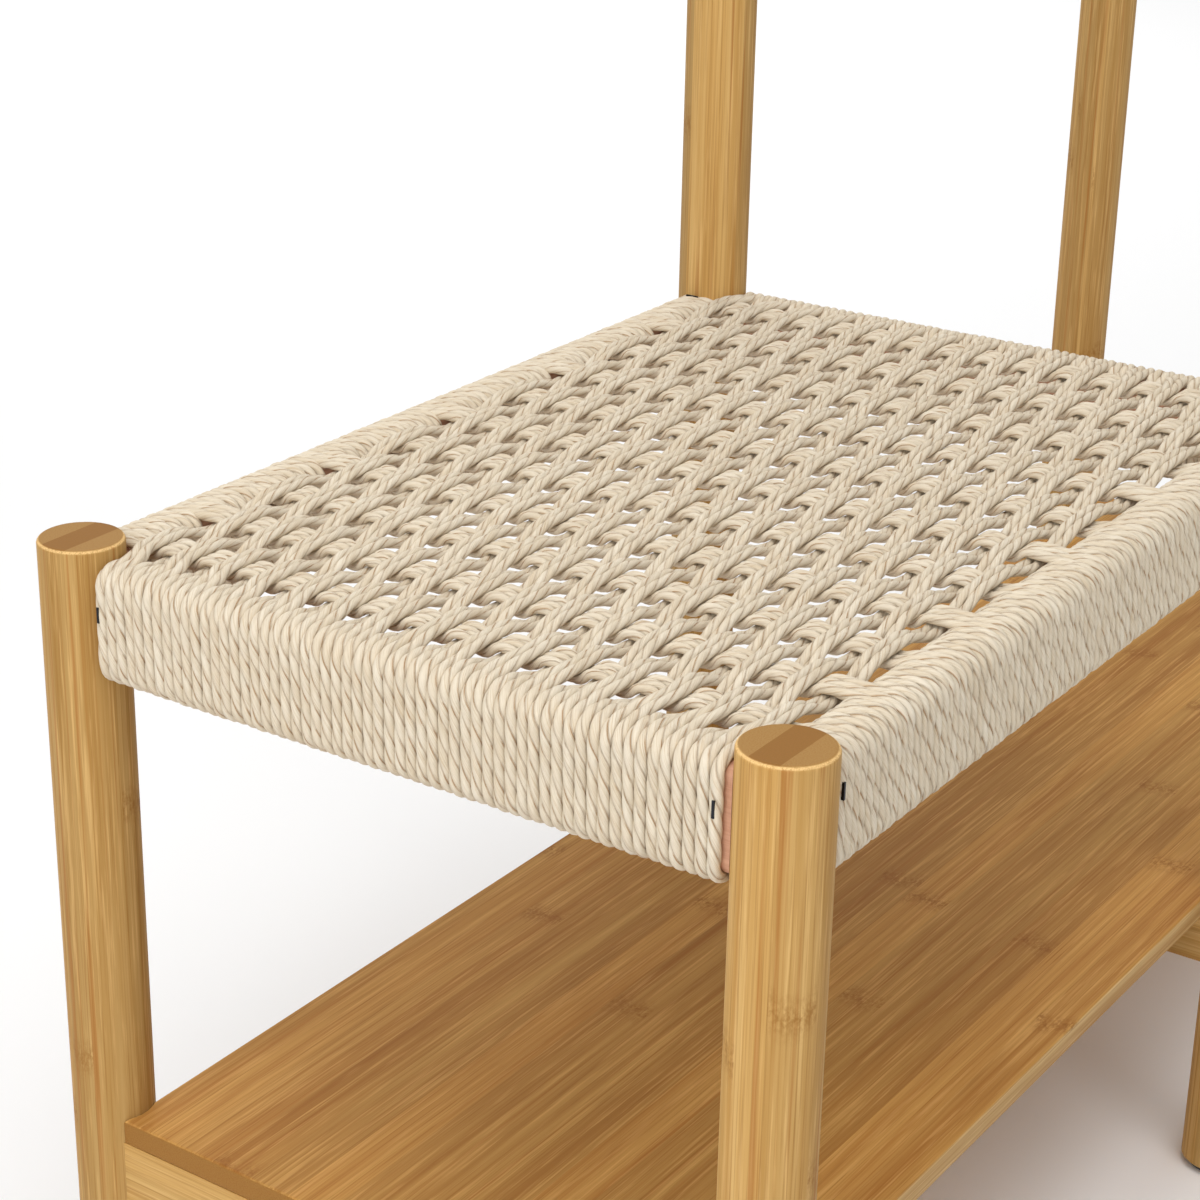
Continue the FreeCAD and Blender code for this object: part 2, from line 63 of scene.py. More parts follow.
CORNER_POINTS = 7               # of a route round one edge of a rail
NAIL_POINTS = 9                 # of a turn over a nail
LIFT = 2.25 * MM                # cord's middle above the wood it lies on
PRESSED = 0.92                  # height of the cord's section over its width, where it lies on wood

# ---- Weave ----
WEFT_COUNT = 58
PAIR_GAP = 4.45 * MM            # between the middles of the two cords of a pair
WEFT_WAVE = 3.0 * MM
WARP_WAVE = 2.0 * MM
WEFT_FLAT = 9 * MM              # half the length over which a pair stays level across a warp group
WARP_FLAT = 2.0 * MM            # the same for a warp across a pair
WEFT_POINTS, WARP_POINTS = 9, 7     # of a route between two knots of its wave
SEAT_RISE = 1.2 * MM            # the seat's middle above the top of the rails
WRAP_BULGE = 2.6 * MM           # the wound cord stands off the inner face of a rail
FIELD_SPREAD = 1.032            # the pairs are pushed apart towards the front and back rails
WARP_GROUPS = 11
WARP_PER_GROUP = 3
WARP_GAP = 5.2 * MM
WARP_FIRST = 28 * MM            # first group's middle, from the left post's axis
WARP_STEP = 40.6 * MM           # to the next group, growing along the seat
WARP_STEP_GROWTH = 0.5 * MM
WEFT_WOBBLE = (4 * MM, 22 * MM, 0.16 * MM)      # between points, length of one bend, sideways
WARP_WOBBLE = (2 * MM, 25 * MM, 0.20 * MM)
WRAP_PITCH = 5.6 * MM
WRAP_SLANT = 0.25 * MM          # how far a turn bends away from its neighbours
WRAP_ADVANCE = 0.5              # share of the pitch that a turn moves along its rail
WRAP_OVERLAP = 0.7 * MM         # the winding is pushed this far under the warp group beside it
SHORTEST_WRAP = 0.7             # of the pitch
NAIL_DROP = 1.8 * MM            # a turn's middle above the lowest point of the nails
FAN = 16 * MM                   # length over which a cord moves from its place on a rail to that in the seat


# ---- Colours, linear ----
PAPER_DARK, PAPER_LIGHT = (0.722, 0.618, 0.466), (0.798, 0.714, 0.575)
# the second colour on the next line is painted shade, a brown for the grooves between the plies of the cord
PAPER_STREAK, PAPER_GROOVE_SHADE = (0.590, 0.445, 0.275), (0.360, 0.175, 0.055)
PALE_BAMBOO, DEEP_BAMBOO = (0.590, 0.372, 0.136), (0.440, 0.234, 0.060)
PALE_SHELF, DEEP_SHELF = (0.550, 0.300, 0.082), (0.375, 0.162, 0.035)
SHELF_EDGE = (1.10, 1.35, 2.10)         # tints the shelf's long edges
PALE_RAIL, DEEP_RAIL = (0.640, 0.360, 0.235), (0.520, 0.262, 0.160)
PALE_DOWEL, DEEP_DOWEL = (0.62, 0.45, 0.27), (0.50, 0.34, 0.19)
GLIDE_PLASTIC = (0.045, 0.045, 0.048)
BOLT_STEEL, ZINC_STEEL, BLACK_STEEL = (0.30, 0.30, 0.31), (0.62, 0.63, 0.65), (0.035, 0.036, 0.042)
FLOOR_WHITE = (0.93, 0.93, 0.93)
DARKEN = (0.66, 0.54, 0.42)             # of the deep colour, for pores and knots
VEIN_TINT = (0.80, 0.56, 0.40)          # of the deep colour
END_PALE, END_DEEP = (0.59, 0.52, 0.42), (0.57, 0.49, 0.38)     # of both colours, on cut ends

# ---- Bamboo's features: how many to a metre across the fibres and along them ----
PORES = (1100.0, 9.0)
BANDS = (180.0, 2.2)
WISPS = (620.0, 16.0)
VEINS = (330.0, 3.0)
KNOT_BEND = (80.0, 0.0)
KNOT_SPECKS = (520.0, 300.0)
END_DOTS = (1500.0, 1500.0)
KNOT_SPACING = 0.43
STRIP_START, LAYER_START = 7.003, 7.0065        # far from the bench, so that no strip is counted from zero

# ---- Laminated strips: width and thickness ----
POST_STRIP = (21 * MM, 13 * MM)
SHELF_STRIP = (22 * MM, 12.5 * MM)
FRAME_STRIP = (20 * MM, 16 * MM)

# ---- Studio ----
FLOOR_REACH = 30
WORLD_STRENGTH = 0.50
SOFT_BOXES = (                  # name, place, target, side, watts
    ("top", (-1.2, -1.0, 2.9), (-0.25, 0, 0.4), 2.0, 43),
    ("side", (-2.0, -0.05, 1.35), (-0.4, 0, 0.25), 1.0, 14),
    ("backdrop", (2.4, 2.4, 3.0), (2.4, 2.4, 0), 3.2, 80),
)
CAMERA_OFFSET = (-0.7570, -0.7708, 0.4085)      # from the top of the back left post
CAMERA_YAW, CAMERA_PITCH = 36.53, 22.31         # degrees from +X, and downwards
CAMERA_LENS, CAMERA_SENSOR, CAMERA_SHIFT = 80.57, 36, 0.102


# ---------------------------------------------------------------- frame measures

def low_high(node):
    low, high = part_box(node)
    return np.array(low), np.array(high)


def post_axis(node):
    low, high = low_high(node)
    return (low + high) / 2


LEFT_RAIL = low_high("left_seat_rail")
RIGHT_RAIL = low_high("right_seat_rail")
FRONT_RAIL = low_high("front_seat_rail")
BACK_RAIL = low_high("back_seat_rail")
LEFT_WRAP = low_high("left_rail_wrap")
FRONT_WRAP = low_high("front_rail_wrap")
NAILS = low_high("cord_nails")
RAIL_TOP = LEFT_RAIL[1][2]
RAIL_BOTTOM = LEFT_RAIL[0][2]
SEAT_MIDDLE_Z = RAIL_TOP + SEAT_RISE
LEFT_POST = post_axis("front_left_post")
RAIL_ROUND = 5 * MM


# ---------------------------------------------------------------- cord geometry

def ease(t):
    """0 at 0, 1 at 1, level at both."""
    return t * t * (3 - 2 * t)


def step_between(value, low, high):
    """0 at low, 1 at high, easing in and out."""
    return ease(min(max((value - low) / (high - low), 0.0), 1.0))


def distances(points):
    """How far along a line of points each of them lies."""
    return np.concatenate([[0], np.cumsum(np.linalg.norm(np.diff(points, axis=0), axis=1))])


def resample(points):
    """Evenly spaced points along a polyline, rounded by a short moving average first."""
    points = np.array(points, float)
    lengths = distances(points)
    fine = np.arange(0, lengths[-1], ROUTE_STEP)
    dense = np.column_stack([np.interp(fine, lengths, points[:, i]) for i in range(3)])
    kernel = np.hanning(ROUTE_POINTS + 2)[1:-1]
    kernel /= kernel.sum()
    margin = ROUTE_POINTS // 2
    padded = np.vstack([np.repeat(dense[:1], margin, 0), dense, np.repeat(dense[-1:], margin, 0)])
    smooth = np.column_stack([np.convolve(padded[:, i], kernel, "valid") for i in range(3)])
    smooth[0], smooth[-1] = dense[0], dense[-1]
    lengths = distances(smooth)
    count = max(3, int(lengths[-1] / CORD_STEP) + 1)
    places = np.linspace(0, lengths[-1], count)
    return np.column_stack([np.interp(places, lengths, smooth[:, i]) for i in range(3)]), places


def slow_noise(places, scale, size):
    """A smooth random curve along a cord, about zero."""
    knots = np.arange(0, places[-1] + 2 * scale, scale)
    values = RNG.normal(0, size, len(knots))
    return np.interp(places, knots, values)


def section():
    """One ring of the cord: angle and radius of each corner, as three plies side by side."""
    angles, radii, plies = [], [], []
    for ply in range(PLY_COUNT):
        for degrees in PLY_ANGLES:
            a = math.radians(degrees)
            reach = PLY_OFFSET * math.cos(a) + math.sqrt(PLY_RADIUS ** 2 - (PLY_OFFSET * math.sin(a)) ** 2)
            angles.append(a + ply * 2 * math.pi / PLY_COUNT)
            radii.append(reach)
            plies.append(ply)
    return np.array(angles), np.array(radii), np.array(plies)


SECTION = section()


def cord_rings(route, side, axis=None, edges=None):
    """Rings of a twisted cord along a route whose bends lie square to the side vector.
    Between the two edges along the axis it thins to its radius in the seat."""
    points, places = resample(route)
    radius = np.full(len(points), CORD_RADIUS)
    if axis is not None:
        low, high = edges
        inside = np.array([step_between(v, low, low + FAN) * step_between(-v, -high, FAN - high)
                           for v in points[:, axis]])
        radius += (FIELD_RADIUS - CORD_RADIUS) * inside
    tangents = np.gradient(points, axis=0)
    tangents /= np.linalg.norm(tangents, axis=1)[:, None]
    side = np.array(side, float)
    normals = np.cross(side, tangents)
    normals /= np.linalg.norm(normals, axis=1)[:, None]
    across = np.cross(tangents, normals)
    angles, radii, plies = SECTION
    twist = -2 * math.pi * places / TWIST_PITCH + RNG.uniform(0, 2 * math.pi)
    twist = twist + slow_noise(places, *TWIST_DRIFT)
    swell = np.column_stack([1 + slow_noise(places, *PLY_SWELL) for _ in range(PLY_COUNT)])
    theta = angles[None, :] + twist[:, None]
    reach = radius[:, None] * radii[None, :] * swell[:, plies]
    rings = (points[:, None, :]
             + normals[:, None, :] * (reach * np.cos(theta) * PRESSED)[:, :, None]
             + across[:, None, :] * (reach * np.sin(theta))[:, :, None])
    return rings, places


def tube_mesh(name, cords):
    """One mesh of several cords. Each cord is an array of rings with the places along it."""
    vertices, faces, along, across, groove, seed = [], [], [], [], [], []
    base = 0
    half_ply = 180 / PLY_COUNT
    ply_angles = np.array(PLY_ANGLES * PLY_COUNT) / half_ply
    for rings, places in cords:
        count, size = rings.shape[:2]
        vertices.append(rings.reshape(-1, 3))
        index = base + np.arange(count * size).reshape(count, size)
        following = np.roll(index, -1, axis=1)
        quads = np.stack([index[:-1], following[:-1], following[1:], index[1:]], axis=-1)
        faces.extend(quads.reshape(-1, 4).tolist())
        faces.append(index[0][::-1].tolist())
        faces.append(index[-1].tolist())
        along.append(np.repeat(places, size))
        across.append(np.tile(ply_angles, count))
        groove.append(np.tile(np.abs(ply_angles), count))
        seed.append(np.tile(RNG.uniform() + PLY_SEED_STEP * SECTION[2], count))
        base += count * size
    mesh = bpy.data.meshes.new(name)
    mesh.from_pydata(np.vstack(vertices).tolist(), [], faces)
    layers = {"cord_along": along, "cord_across": across, "cord_groove": groove, "cord_seed": seed}
    for key, values in layers.items():
        layer = mesh.attributes.new(key, "FLOAT", "POINT")
        layer.data.foreach_set("value", np.concatenate(values).astype(np.float32))
    mesh.shade_smooth()
    obj = bpy.data.objects.new(name, mesh)
    bpy.context.scene.collection.objects.link(obj)
    return obj


# ---------------------------------------------------------------- the routes of the cords

def round_rail(low, high, rise, start_z, outward):
    """Points from the inner face of a rail, at height start_z, down, under, up the outside and onto its top.
    They are pairs of (distance across the rail, height). outward is the sign of the outer side."""
    inner, outer = (high, low) if outward < 0 else (low, high)
    inside = inner - outward * rise
    bend = RAIL_ROUND + rise
    corners = [
        (inner + outward * RAIL_ROUND, RAIL_BOTTOM + RAIL_ROUND, 0, -90),
        (outer - outward * RAIL_ROUND, RAIL_BOTTOM + RAIL_ROUND, -90, -180),
        (outer - outward * RAIL_ROUND, RAIL_TOP - RAIL_ROUND, 180, 90),
    ]
    points = [(inside, start_z)]
    for across, height, start, end in corners:
        for degrees in np.linspace(start, end, CORNER_POINTS):
            a = math.radians(degrees)
            points.append((across - outward * bend * math.cos(a), height + bend * math.sin(a)))
    points.append((inner + outward * RAIL_ROUND, RAIL_TOP + rise))
    return points


WARP_X = [LEFT_POST[0] + WARP_FIRST + WARP_STEP * i + WARP_STEP_GROWTH * i * i for i in range(WARP_GROUPS)]
WEFT_PITCH = (LEFT_WRAP[1][1] - LEFT_WRAP[0][1]) / WEFT_COUNT
PAIR_COUNT = WEFT_COUNT // 2
PAIR_Y = [LEFT_WRAP[1][1] - (2 * k + 1) * WEFT_PITCH for k in range(PAIR_COUNT)]


def weft_is_over(pair, group):
    return (pair + group) % 2 == 0


def eased(knots, count):
    """Points (distance, height) along a line of knots, level at each knot, count to a stretch."""
    points = []
    for (start, low), (end, high) in zip(knots, knots[1:]):
        for t in np.linspace(0, 1, count)[:-1]:
            points.append((start + (end - start) * t, low + (high - low) * ease(t)))
    points.append(knots[-1])
    return points


def wobble(points, spacing, bend, size):
    """How far each point of a route strays sideways."""
    return slow_noise(np.arange(len(points)) * spacing, bend, size)


def weft_wave(pair):
    """Places along X and heights of a weft pair across the seat, from rail to rail."""
    rail_height = RAIL_TOP + LIFT
    knots = [(LEFT_RAIL[1][0] - RAIL_ROUND, rail_height)]
    for group, x in enumerate(WARP_X):
        height = SEAT_MIDDLE_Z + (WEFT_WAVE if weft_is_over(pair, group) else -WEFT_WAVE)
        knots.extend([(x - WEFT_FLAT, height), (x + WEFT_FLAT, height)])
    knots.append((RIGHT_RAIL[0][0] + RAIL_ROUND, rail_height))
    return eased(knots, WEFT_POINTS)


def weft_route(pair, which):
    """One cord of a pair, from the left nail over the seat to the right nail."""
    rail_y = PAIR_Y[pair] + (0.5 - which) * WEFT_PITCH
    seat_y = PAIR_Y[pair] * FIELD_SPREAD + (0.5 - which) * PAIR_GAP
    start = NAILS[0][2] + NAIL_DROP
    left = round_rail(LEFT_RAIL[0][0], LEFT_RAIL[1][0], LIFT, start, -1)
    right = round_rail(RIGHT_RAIL[0][0], RIGHT_RAIL[1][0], LIFT, start, 1)
    profile = left[:-1] + weft_wave(pair) + right[-2::-1]
    points = []
    for x, z in profile:
        into = (step_between(x, LEFT_RAIL[1][0], LEFT_RAIL[1][0] + FAN)
                * step_between(-x, -RIGHT_RAIL[0][0], FAN - RIGHT_RAIL[0][0]))
        points.append((x, rail_y + (seat_y - rail_y) * into, z))
    points = np.array(points)
    points[:, 1] += wobble(points, *WEFT_WOBBLE)
    return points


def nail_loop(pair, x):
    """The turn of a pair over its nail."""
    height, radius = NAILS[0][2] + NAIL_DROP, WEFT_PITCH / 2
    return [(x, PAIR_Y[pair] + radius * math.cos(a), height + radius * math.sin(a))
            for a in np.radians(np.linspace(180, 0, NAIL_POINTS))]


def warp_wave(group):
    """Places along Y and heights of a warp group across the seat, from the back rail to the front."""
    rail_height = RAIL_TOP + LIFT
    knots = [(BACK_RAIL[0][1] + RAIL_ROUND, rail_height)]
    for pair, rail_y in enumerate(PAIR_Y):
        y = rail_y * FIELD_SPREAD
        height = SEAT_MIDDLE_Z + (-WARP_WAVE if weft_is_over(pair, group) else WARP_WAVE)
        knots.extend([(y + WARP_FLAT, height), (y - WARP_FLAT, height)])
    knots.append((FRONT_RAIL[1][1] - RAIL_ROUND, rail_height))
    return eased(knots, WARP_POINTS)


def warp_route(group, which):
    """One cord of a warp group, from inside the back rail over the seat to inside the front rail."""
    x = WARP_X[group] + (which - (WARP_PER_GROUP - 1) / 2) * WARP_GAP
    start = RAIL_TOP - RAIL_ROUND - LIFT
    back = round_rail(BACK_RAIL[0][1], BACK_RAIL[1][1], LIFT, start, 1)
    front = round_rail(FRONT_RAIL[0][1], FRONT_RAIL[1][1], LIFT, start, -1)
    profile = back[:-1] + warp_wave(group) + front[-2::-1]
    points = np.array([(x, y, z) for y, z in profile])
    points[:, 0] += wobble(points, *WARP_WOBBLE)
    return points


def wrap_route(x0, x1, rail, outward):
    """A cord wound round a rail from x0 to x1, starting and ending on the inner face."""
    turns = max(1, round((x1 - x0) / WRAP_PITCH))
    pitch = (x1 - x0) / turns
    start = RAIL_TOP - RAIL_ROUND
    low, high = rail[0][1], rail[1][1]
    if outward < 0:
        high += WRAP_BULGE
    else:
        low -= WRAP_BULGE
    inner = high if outward < 0 else low
    loop = round_rail(low, high, LIFT, start, outward)
    for degrees in np.linspace(90, 0, CORNER_POINTS)[1:]:
        a = math.radians(degrees)
        bend = RAIL_ROUND + LIFT
        loop.append((inner + outward * RAIL_ROUND - outward * bend * math.cos(a),
                     RAIL_TOP - RAIL_ROUND + bend * math.sin(a)))
    loop = np.array(loop)
    lengths = distances(loop)
    share = lengths / lengths[-1]
    points = []
    for turn in range(turns):
        slant = RNG.normal(0, WRAP_SLANT)
        for (y, z), t in zip(loop[:-1], share[:-1]):
            advance = turn + 0.5 + WRAP_ADVANCE * (t - 0.5)
            points.append((x0 + pitch * advance + slant * math.sin(math.pi * t), y, z))
    return np.array(points)


def wrap_gaps():
    """Low and high X of each stretch of wound rail between two warp groups."""
    half = WARP_PER_GROUP / 2 * WARP_GAP - WRAP_OVERLAP
    low = FRONT_WRAP[0][0]
    gaps = []
    for x in WARP_X:
        gaps.append((low, x - half))
        low = x + half
    gaps.append((low, FRONT_WRAP[1][0]))
    return [(a, b) for a, b in gaps if b - a > SHORTEST_WRAP * WRAP_PITCH]


# ---------------------------------------------------------------- build the cords

SIDE_Y = (0, 1, 0)
SIDE_X = (1, 0, 0)


def build_cords(cord_material):
    pieces = []
    for pair in range(PAIR_COUNT):
        edges = (LEFT_RAIL[1][0], RIGHT_RAIL[0][0])
        cords = [cord_rings(weft_route(pair, which), SIDE_Y, 0, edges) for which in (0, 1)]
        for x in (LEFT_RAIL[1][0] + LIFT, RIGHT_RAIL[0][0] - LIFT):
            cords.append(cord_rings(nail_loop(pair, x), SIDE_X))
        nodes = ("left_rail_wrap", "right_rail_wrap", "seat_weave")
        pieces.append((f"weft_pair_{pair + 1:02d}", cords, nodes))
    for group in range(WARP_GROUPS):
        edges = (FRONT_RAIL[1][1], BACK_RAIL[0][1])
        cords = [cord_rings(warp_route(group, which), SIDE_X, 1, edges) for which in range(WARP_PER_GROUP)]
        nodes = ("front_rail_wrap", "back_rail_wrap", "seat_weave")
        pieces.append((f"warp_group_{group + 1:02d}", cords, nodes))
    for name, rail, outward in (("front", FRONT_RAIL, -1), ("back", BACK_RAIL, 1)):
        for number, (x0, x1) in enumerate(wrap_gaps()):
            cords = [cord_rings(wrap_route(x0, x1, rail, outward), SIDE_X)]
            pieces.append((f"{name}_wrap_{number + 1:02d}", cords, (name + "_rail_wrap",)))
    for name, cords, nodes in pieces:
        piece = tube_mesh(name, cords)
        piece.data.materials.append(cord_material)
        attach(piece, "root")
        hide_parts(*nodes)


# ---------------------------------------------------------------- materials

class Graph:
    """A Principled material and short ways to add nodes to it."""

    def __init__(self, name, roughness, metallic=0.0, specular=0.5):
        self.material = bpy.data.materials.new(name)
        self.material.use_nodes = True
        self.tree = self.material.node_tree
        self.shader = self.tree.nodes["Principled BSDF"]
        self.shader.inputs["Roughness"].default_value = roughness
        self.shader.inputs["Metallic"].default_value = metallic
        self.shader.inputs["Specular IOR Level"].default_value = specular

    def plug(self, socket, value):
        if isinstance(value, bpy.types.NodeSocket):
            self.tree.links.new(value, socket)
        else:
            socket.default_value = value

    def add(self, kind, output, inputs, **settings):
        node = self.tree.nodes.new(kind)
        for key, value in settings.items():
            setattr(node, key, value)
        for key, value in inputs.items():
            self.plug(node.inputs[key], value)
        return node.outputs[output]

    def math(self, operation, first, second=0.0, third=0.0):
        return self.add("ShaderNodeMath", 0, {0: first, 1: second, 2: third}, operation=operation)

    def attribute(self, name):
        return self.add("ShaderNodeAttribute", "Fac", {}, attribute_name=name)

    def place(self):
        return self.add("ShaderNodeTexCoord", "Object", {})

    def split(self, vector):
        node = self.tree.nodes.new("ShaderNodeSeparateXYZ")
        self.tree.links.new(vector, node.inputs[0])
        return node.outputs[0], node.outputs[1], node.outputs[2]

    def join(self, x, y, z):
        return self.add("ShaderNodeCombineXYZ", 0, {0: x, 1: y, 2: z})

    def noise(self, vector, scale=1.0, detail=3.0, roughness=0.55):
        return self.add("ShaderNodeTexNoise", 0, {"Vector": vector, "Scale": scale, "Detail": detail,
                                                  "Roughness": roughness})

    def fibres(self, width, depth, length, feature, shift=0.0, detail=3.0, roughness=0.55):
        """Noise drawn out along the fibres. feature is its count to a metre across them and along them."""
        across, along = feature
        vector = self.join(self.math("MULTIPLY", width, across), self.math("MULTIPLY", depth, across),
                           self.math("MULTIPLY_ADD", length, along, shift))
        return self.noise(vector, 1.0, detail, roughness)

    def random(self, vector):
        return self.add("ShaderNodeTexWhiteNoise", "Value", {"Vector": vector})

    def remap(self, value, low, high, to_low=0.0, to_high=1.0):
        return self.add("ShaderNodeMapRange", 0, {"Value": value, 1: low, 2: high, 3: to_low, 4: to_high})

    def mix(self, factor, first, second, blend="MIX"):
        node = self.tree.nodes.new("ShaderNodeMix")
        node.data_type = "RGBA"
        node.blend_type = blend
        for index, value in ((0, factor), (6, first), (7, second)):
            if isinstance(value, tuple):
                value = (*value, 1)
            self.plug(node.inputs[index], value)
        return node.outputs[2]

    def bump(self, height, strength, distance):
        normal = self.add("ShaderNodeBump", 0, {"Height": height, "Strength": strength, "Distance": distance})
        self.tree.links.new(normal, self.shader.inputs["Normal"])

    def color(self, value):
        self.tree.links.new(value, self.shader.inputs["Base Color"])


def cord_material():
    g = Graph("paper_cord", 0.78, specular=0.25)
    along = g.attribute("cord_along")
    across = g.attribute("cord_across")
    groove = g.attribute("cord_groove")
    seed = g.math("MULTIPLY", g.attribute("cord_seed"), 37.0)
    fibre_place = g.join(g.math("MULTIPLY", along, 70.0), g.math("MULTIPLY", across, 8.0), seed)
    fibre = g.noise(fibre_place, 1.0, 4.0, 0.6)
    patch = g.noise(g.join(g.math("MULTIPLY", along, 45.0), seed, 0.0), 1.0, 1.0)
    cream = g.mix(g.remap(patch, 0.3, 0.7), PAPER_DARK, PAPER_LIGHT)
    streaked = g.mix(g.remap(fibre, 0.50, 0.68, 0.0, 0.80), cream, PAPER_STREAK)
    # painted shade: the groove between two plies is darkened in a row of dashes
    dashes = g.noise(g.join(g.math("MULTIPLY", along, 130.0), seed, 3.0), 1.0, 1.0)
    depth = g.remap(dashes, 0.45, 0.58, 0.12, 1.0)
    groove_shade = g.math("MULTIPLY", g.remap(g.math("POWER", groove, 3.0), 0.40, 0.95, 0.0, 0.95), depth)
    g.color(g.mix(groove_shade, streaked, PAPER_GROOVE_SHADE))
    g.bump(fibre, 0.8, 0.0007)
    return g.material


def scaled(color, shares):
    return tuple(share * c for share, c in zip(shares, color))


def bamboo(name, grain, strips, pale, deep, edge=(1.0, 1.0, 1.0), post_row=None):
    """Laminated bamboo. grain is the axis that the fibres follow; strips are their width and thickness.
    The faces across the strips are tinted by edge.
    With post_row, the distance of both rows of posts from y = 0, a post is three layers about its axis."""
    g = Graph(name, 0.58, specular=0.12)
    place = g.split(g.place())
    normal = g.split(g.add("ShaderNodeNewGeometry", "Normal", {}))
    across, upright = [axis for axis in range(3) if axis != grain]
    wood = (place[across], place[upright], place[grain])
    width, depth, length = wood
    strip, thickness = strips
    dark = scaled(deep, DARKEN)

    # every strip has its own tone
    strip_place = g.math("DIVIDE", g.math("ADD", width, STRIP_START), strip)
    column = g.math("FLOOR", strip_place)
    if post_row is None:
        layer = g.math("FLOOR", g.math("DIVIDE", g.math("ADD", depth, LAYER_START), thickness))
        middle = 0.0
    else:
        offset = g.math("SUBTRACT", g.math("ABSOLUTE", depth), post_row)
        middle = g.math("LESS_THAN", g.math("ABSOLUTE", offset), thickness / 2)
        side = g.math("SIGN", depth)
        layer = g.math("MULTIPLY_ADD", side, 5.0, g.math("ROUND", g.math("DIVIDE", offset, thickness)))
    tone = g.random(g.join(column, layer, 5.0))
    bands = g.fibres(*wood, BANDS, g.math("MULTIPLY", tone, 40.0))
    base = g.mix(g.remap(bands, 0.28, 0.70), deep, pale)
    shade = g.remap(tone, 0.0, 1.0, 0.82, 1.10)
    base = g.mix(1.0, base, g.join(shade, shade, shade), "MULTIPLY")

    # dark pores, light wisps and a few reddish veins
    pores = g.fibres(*wood, PORES, roughness=0.65)
    base = g.mix(g.remap(pores, 0.50, 0.72, 0.0, 0.66), base, dark)
    wisps = g.fibres(*wood, WISPS, tone, roughness=0.6)
    base = g.mix(g.remap(wisps, 0.52, 0.68, 0.0, 0.45), base, tuple(1.22 * c + 0.03 for c in pale))
    veins = g.fibres(*wood, VEINS, 20.0, detail=2.0)
    vein_depth = 0.25 if post_row is None else 0.60
    base = g.mix(g.remap(veins, 0.58, 0.68, 0.0, vein_depth), base, scaled(deep, VEIN_TINT))

    # the joints of the cane: soft darker crescents, a long way apart in each strip
    bend = g.math("MULTIPLY", g.fibres(*wood, KNOT_BEND, tone, detail=1.0), 0.040)
    cell = g.math("ADD", g.math("DIVIDE", length, KNOT_SPACING), g.math("MULTIPLY_ADD", tone, 7.0, bend))
    near = g.math("ABSOLUTE", g.math("SUBTRACT", g.math("FRACT", cell), 0.5))
    specks = g.fibres(*wood, KNOT_SPECKS, detail=2.0, roughness=0.7)
    knot = g.math("MULTIPLY", g.remap(near, 0.0, 0.028, 1.0, 0.0), g.remap(specks, 0.36, 0.64, 0.0, 0.75))
    base = g.mix(knot, base, dark)
    base = g.mix(g.remap(g.math("FRACT", strip_place), 0.0, 0.02, 0.22, 0.0), base, dark)

    # cut ends show the bundles of the cane as dots, and a post's rounded rim is made pale with speckles as a
    # painted highlight
    facing = g.math("ABSOLUTE", normal[grain])
    dots = g.fibres(*wood, END_DOTS, detail=2.0, roughness=0.8)
    if post_row is None:
        edge_on = g.remap(g.math("ABSOLUTE", normal[across]), 0.55, 0.90)
        base = g.mix(edge_on, base, g.mix(1.0, base, edge, "MULTIPLY"))
    else:
        # painted highlight along the rounded rim of a post's top
        rim_highlight = g.math("MULTIPLY", g.remap(facing, 0.30, 0.55), g.remap(dots, 0.40, 0.55, 0.25, 0.85))
        base = g.mix(rim_highlight, base, tuple(1.35 * c + 0.06 for c in pale))
    end = g.mix(middle, scaled(pale, END_PALE), scaled(deep, END_DEEP))
    end = g.mix(g.remap(dots, 0.45, 0.62, 0.0, 0.55), end, dark)
    g.color(g.mix(g.remap(facing, 0.80, 0.95), base, end))
    g.bump(pores, 0.12, 0.0004)
    return g.material


def hardwood(name, grain, pale, deep):
    """Plain close-grained wood with the fibres along one axis."""
    g = Graph(name, 0.6, specular=0.3)
    place = g.split(g.place())
    drawn_out = [g.math("MULTIPLY", place[axis], 22.0 if axis == grain else 620.0) for axis in range(3)]
    fibre = g.noise(g.join(*drawn_out), 1.0, 3.0, 0.6)
    g.color(g.mix(g.remap(fibre, 0.3, 0.7), deep, pale))
    g.bump(fibre, 0.2, 0.0003)
    return g.material


def metal(name, color, roughness):
    g = Graph(name, roughness, metallic=1.0)
    wear = g.noise(g.place(), 900.0, 3.0)
    g.color(g.mix(g.remap(wear, 0.3, 0.7), tuple(0.75 * c for c in color), color))
    g.bump(wear, 0.15, 0.0002)
    return g.material


def plastic(name, color):
    g = Graph(name, 0.5, specular=0.4)
    grain = g.noise(g.place(), 1400.0, 2.0)
    g.color(g.mix(g.remap(grain, 0.3, 0.7), tuple(0.8 * c for c in color), color))
    g.bump(grain, 0.25, 0.0002)
    return g.material


def floor_material():
    g = Graph("floor_white", 0.9, specular=0.1)
    g.shader.inputs["Base Color"].default_value = (*FLOOR_WHITE, 1)
    return g.material


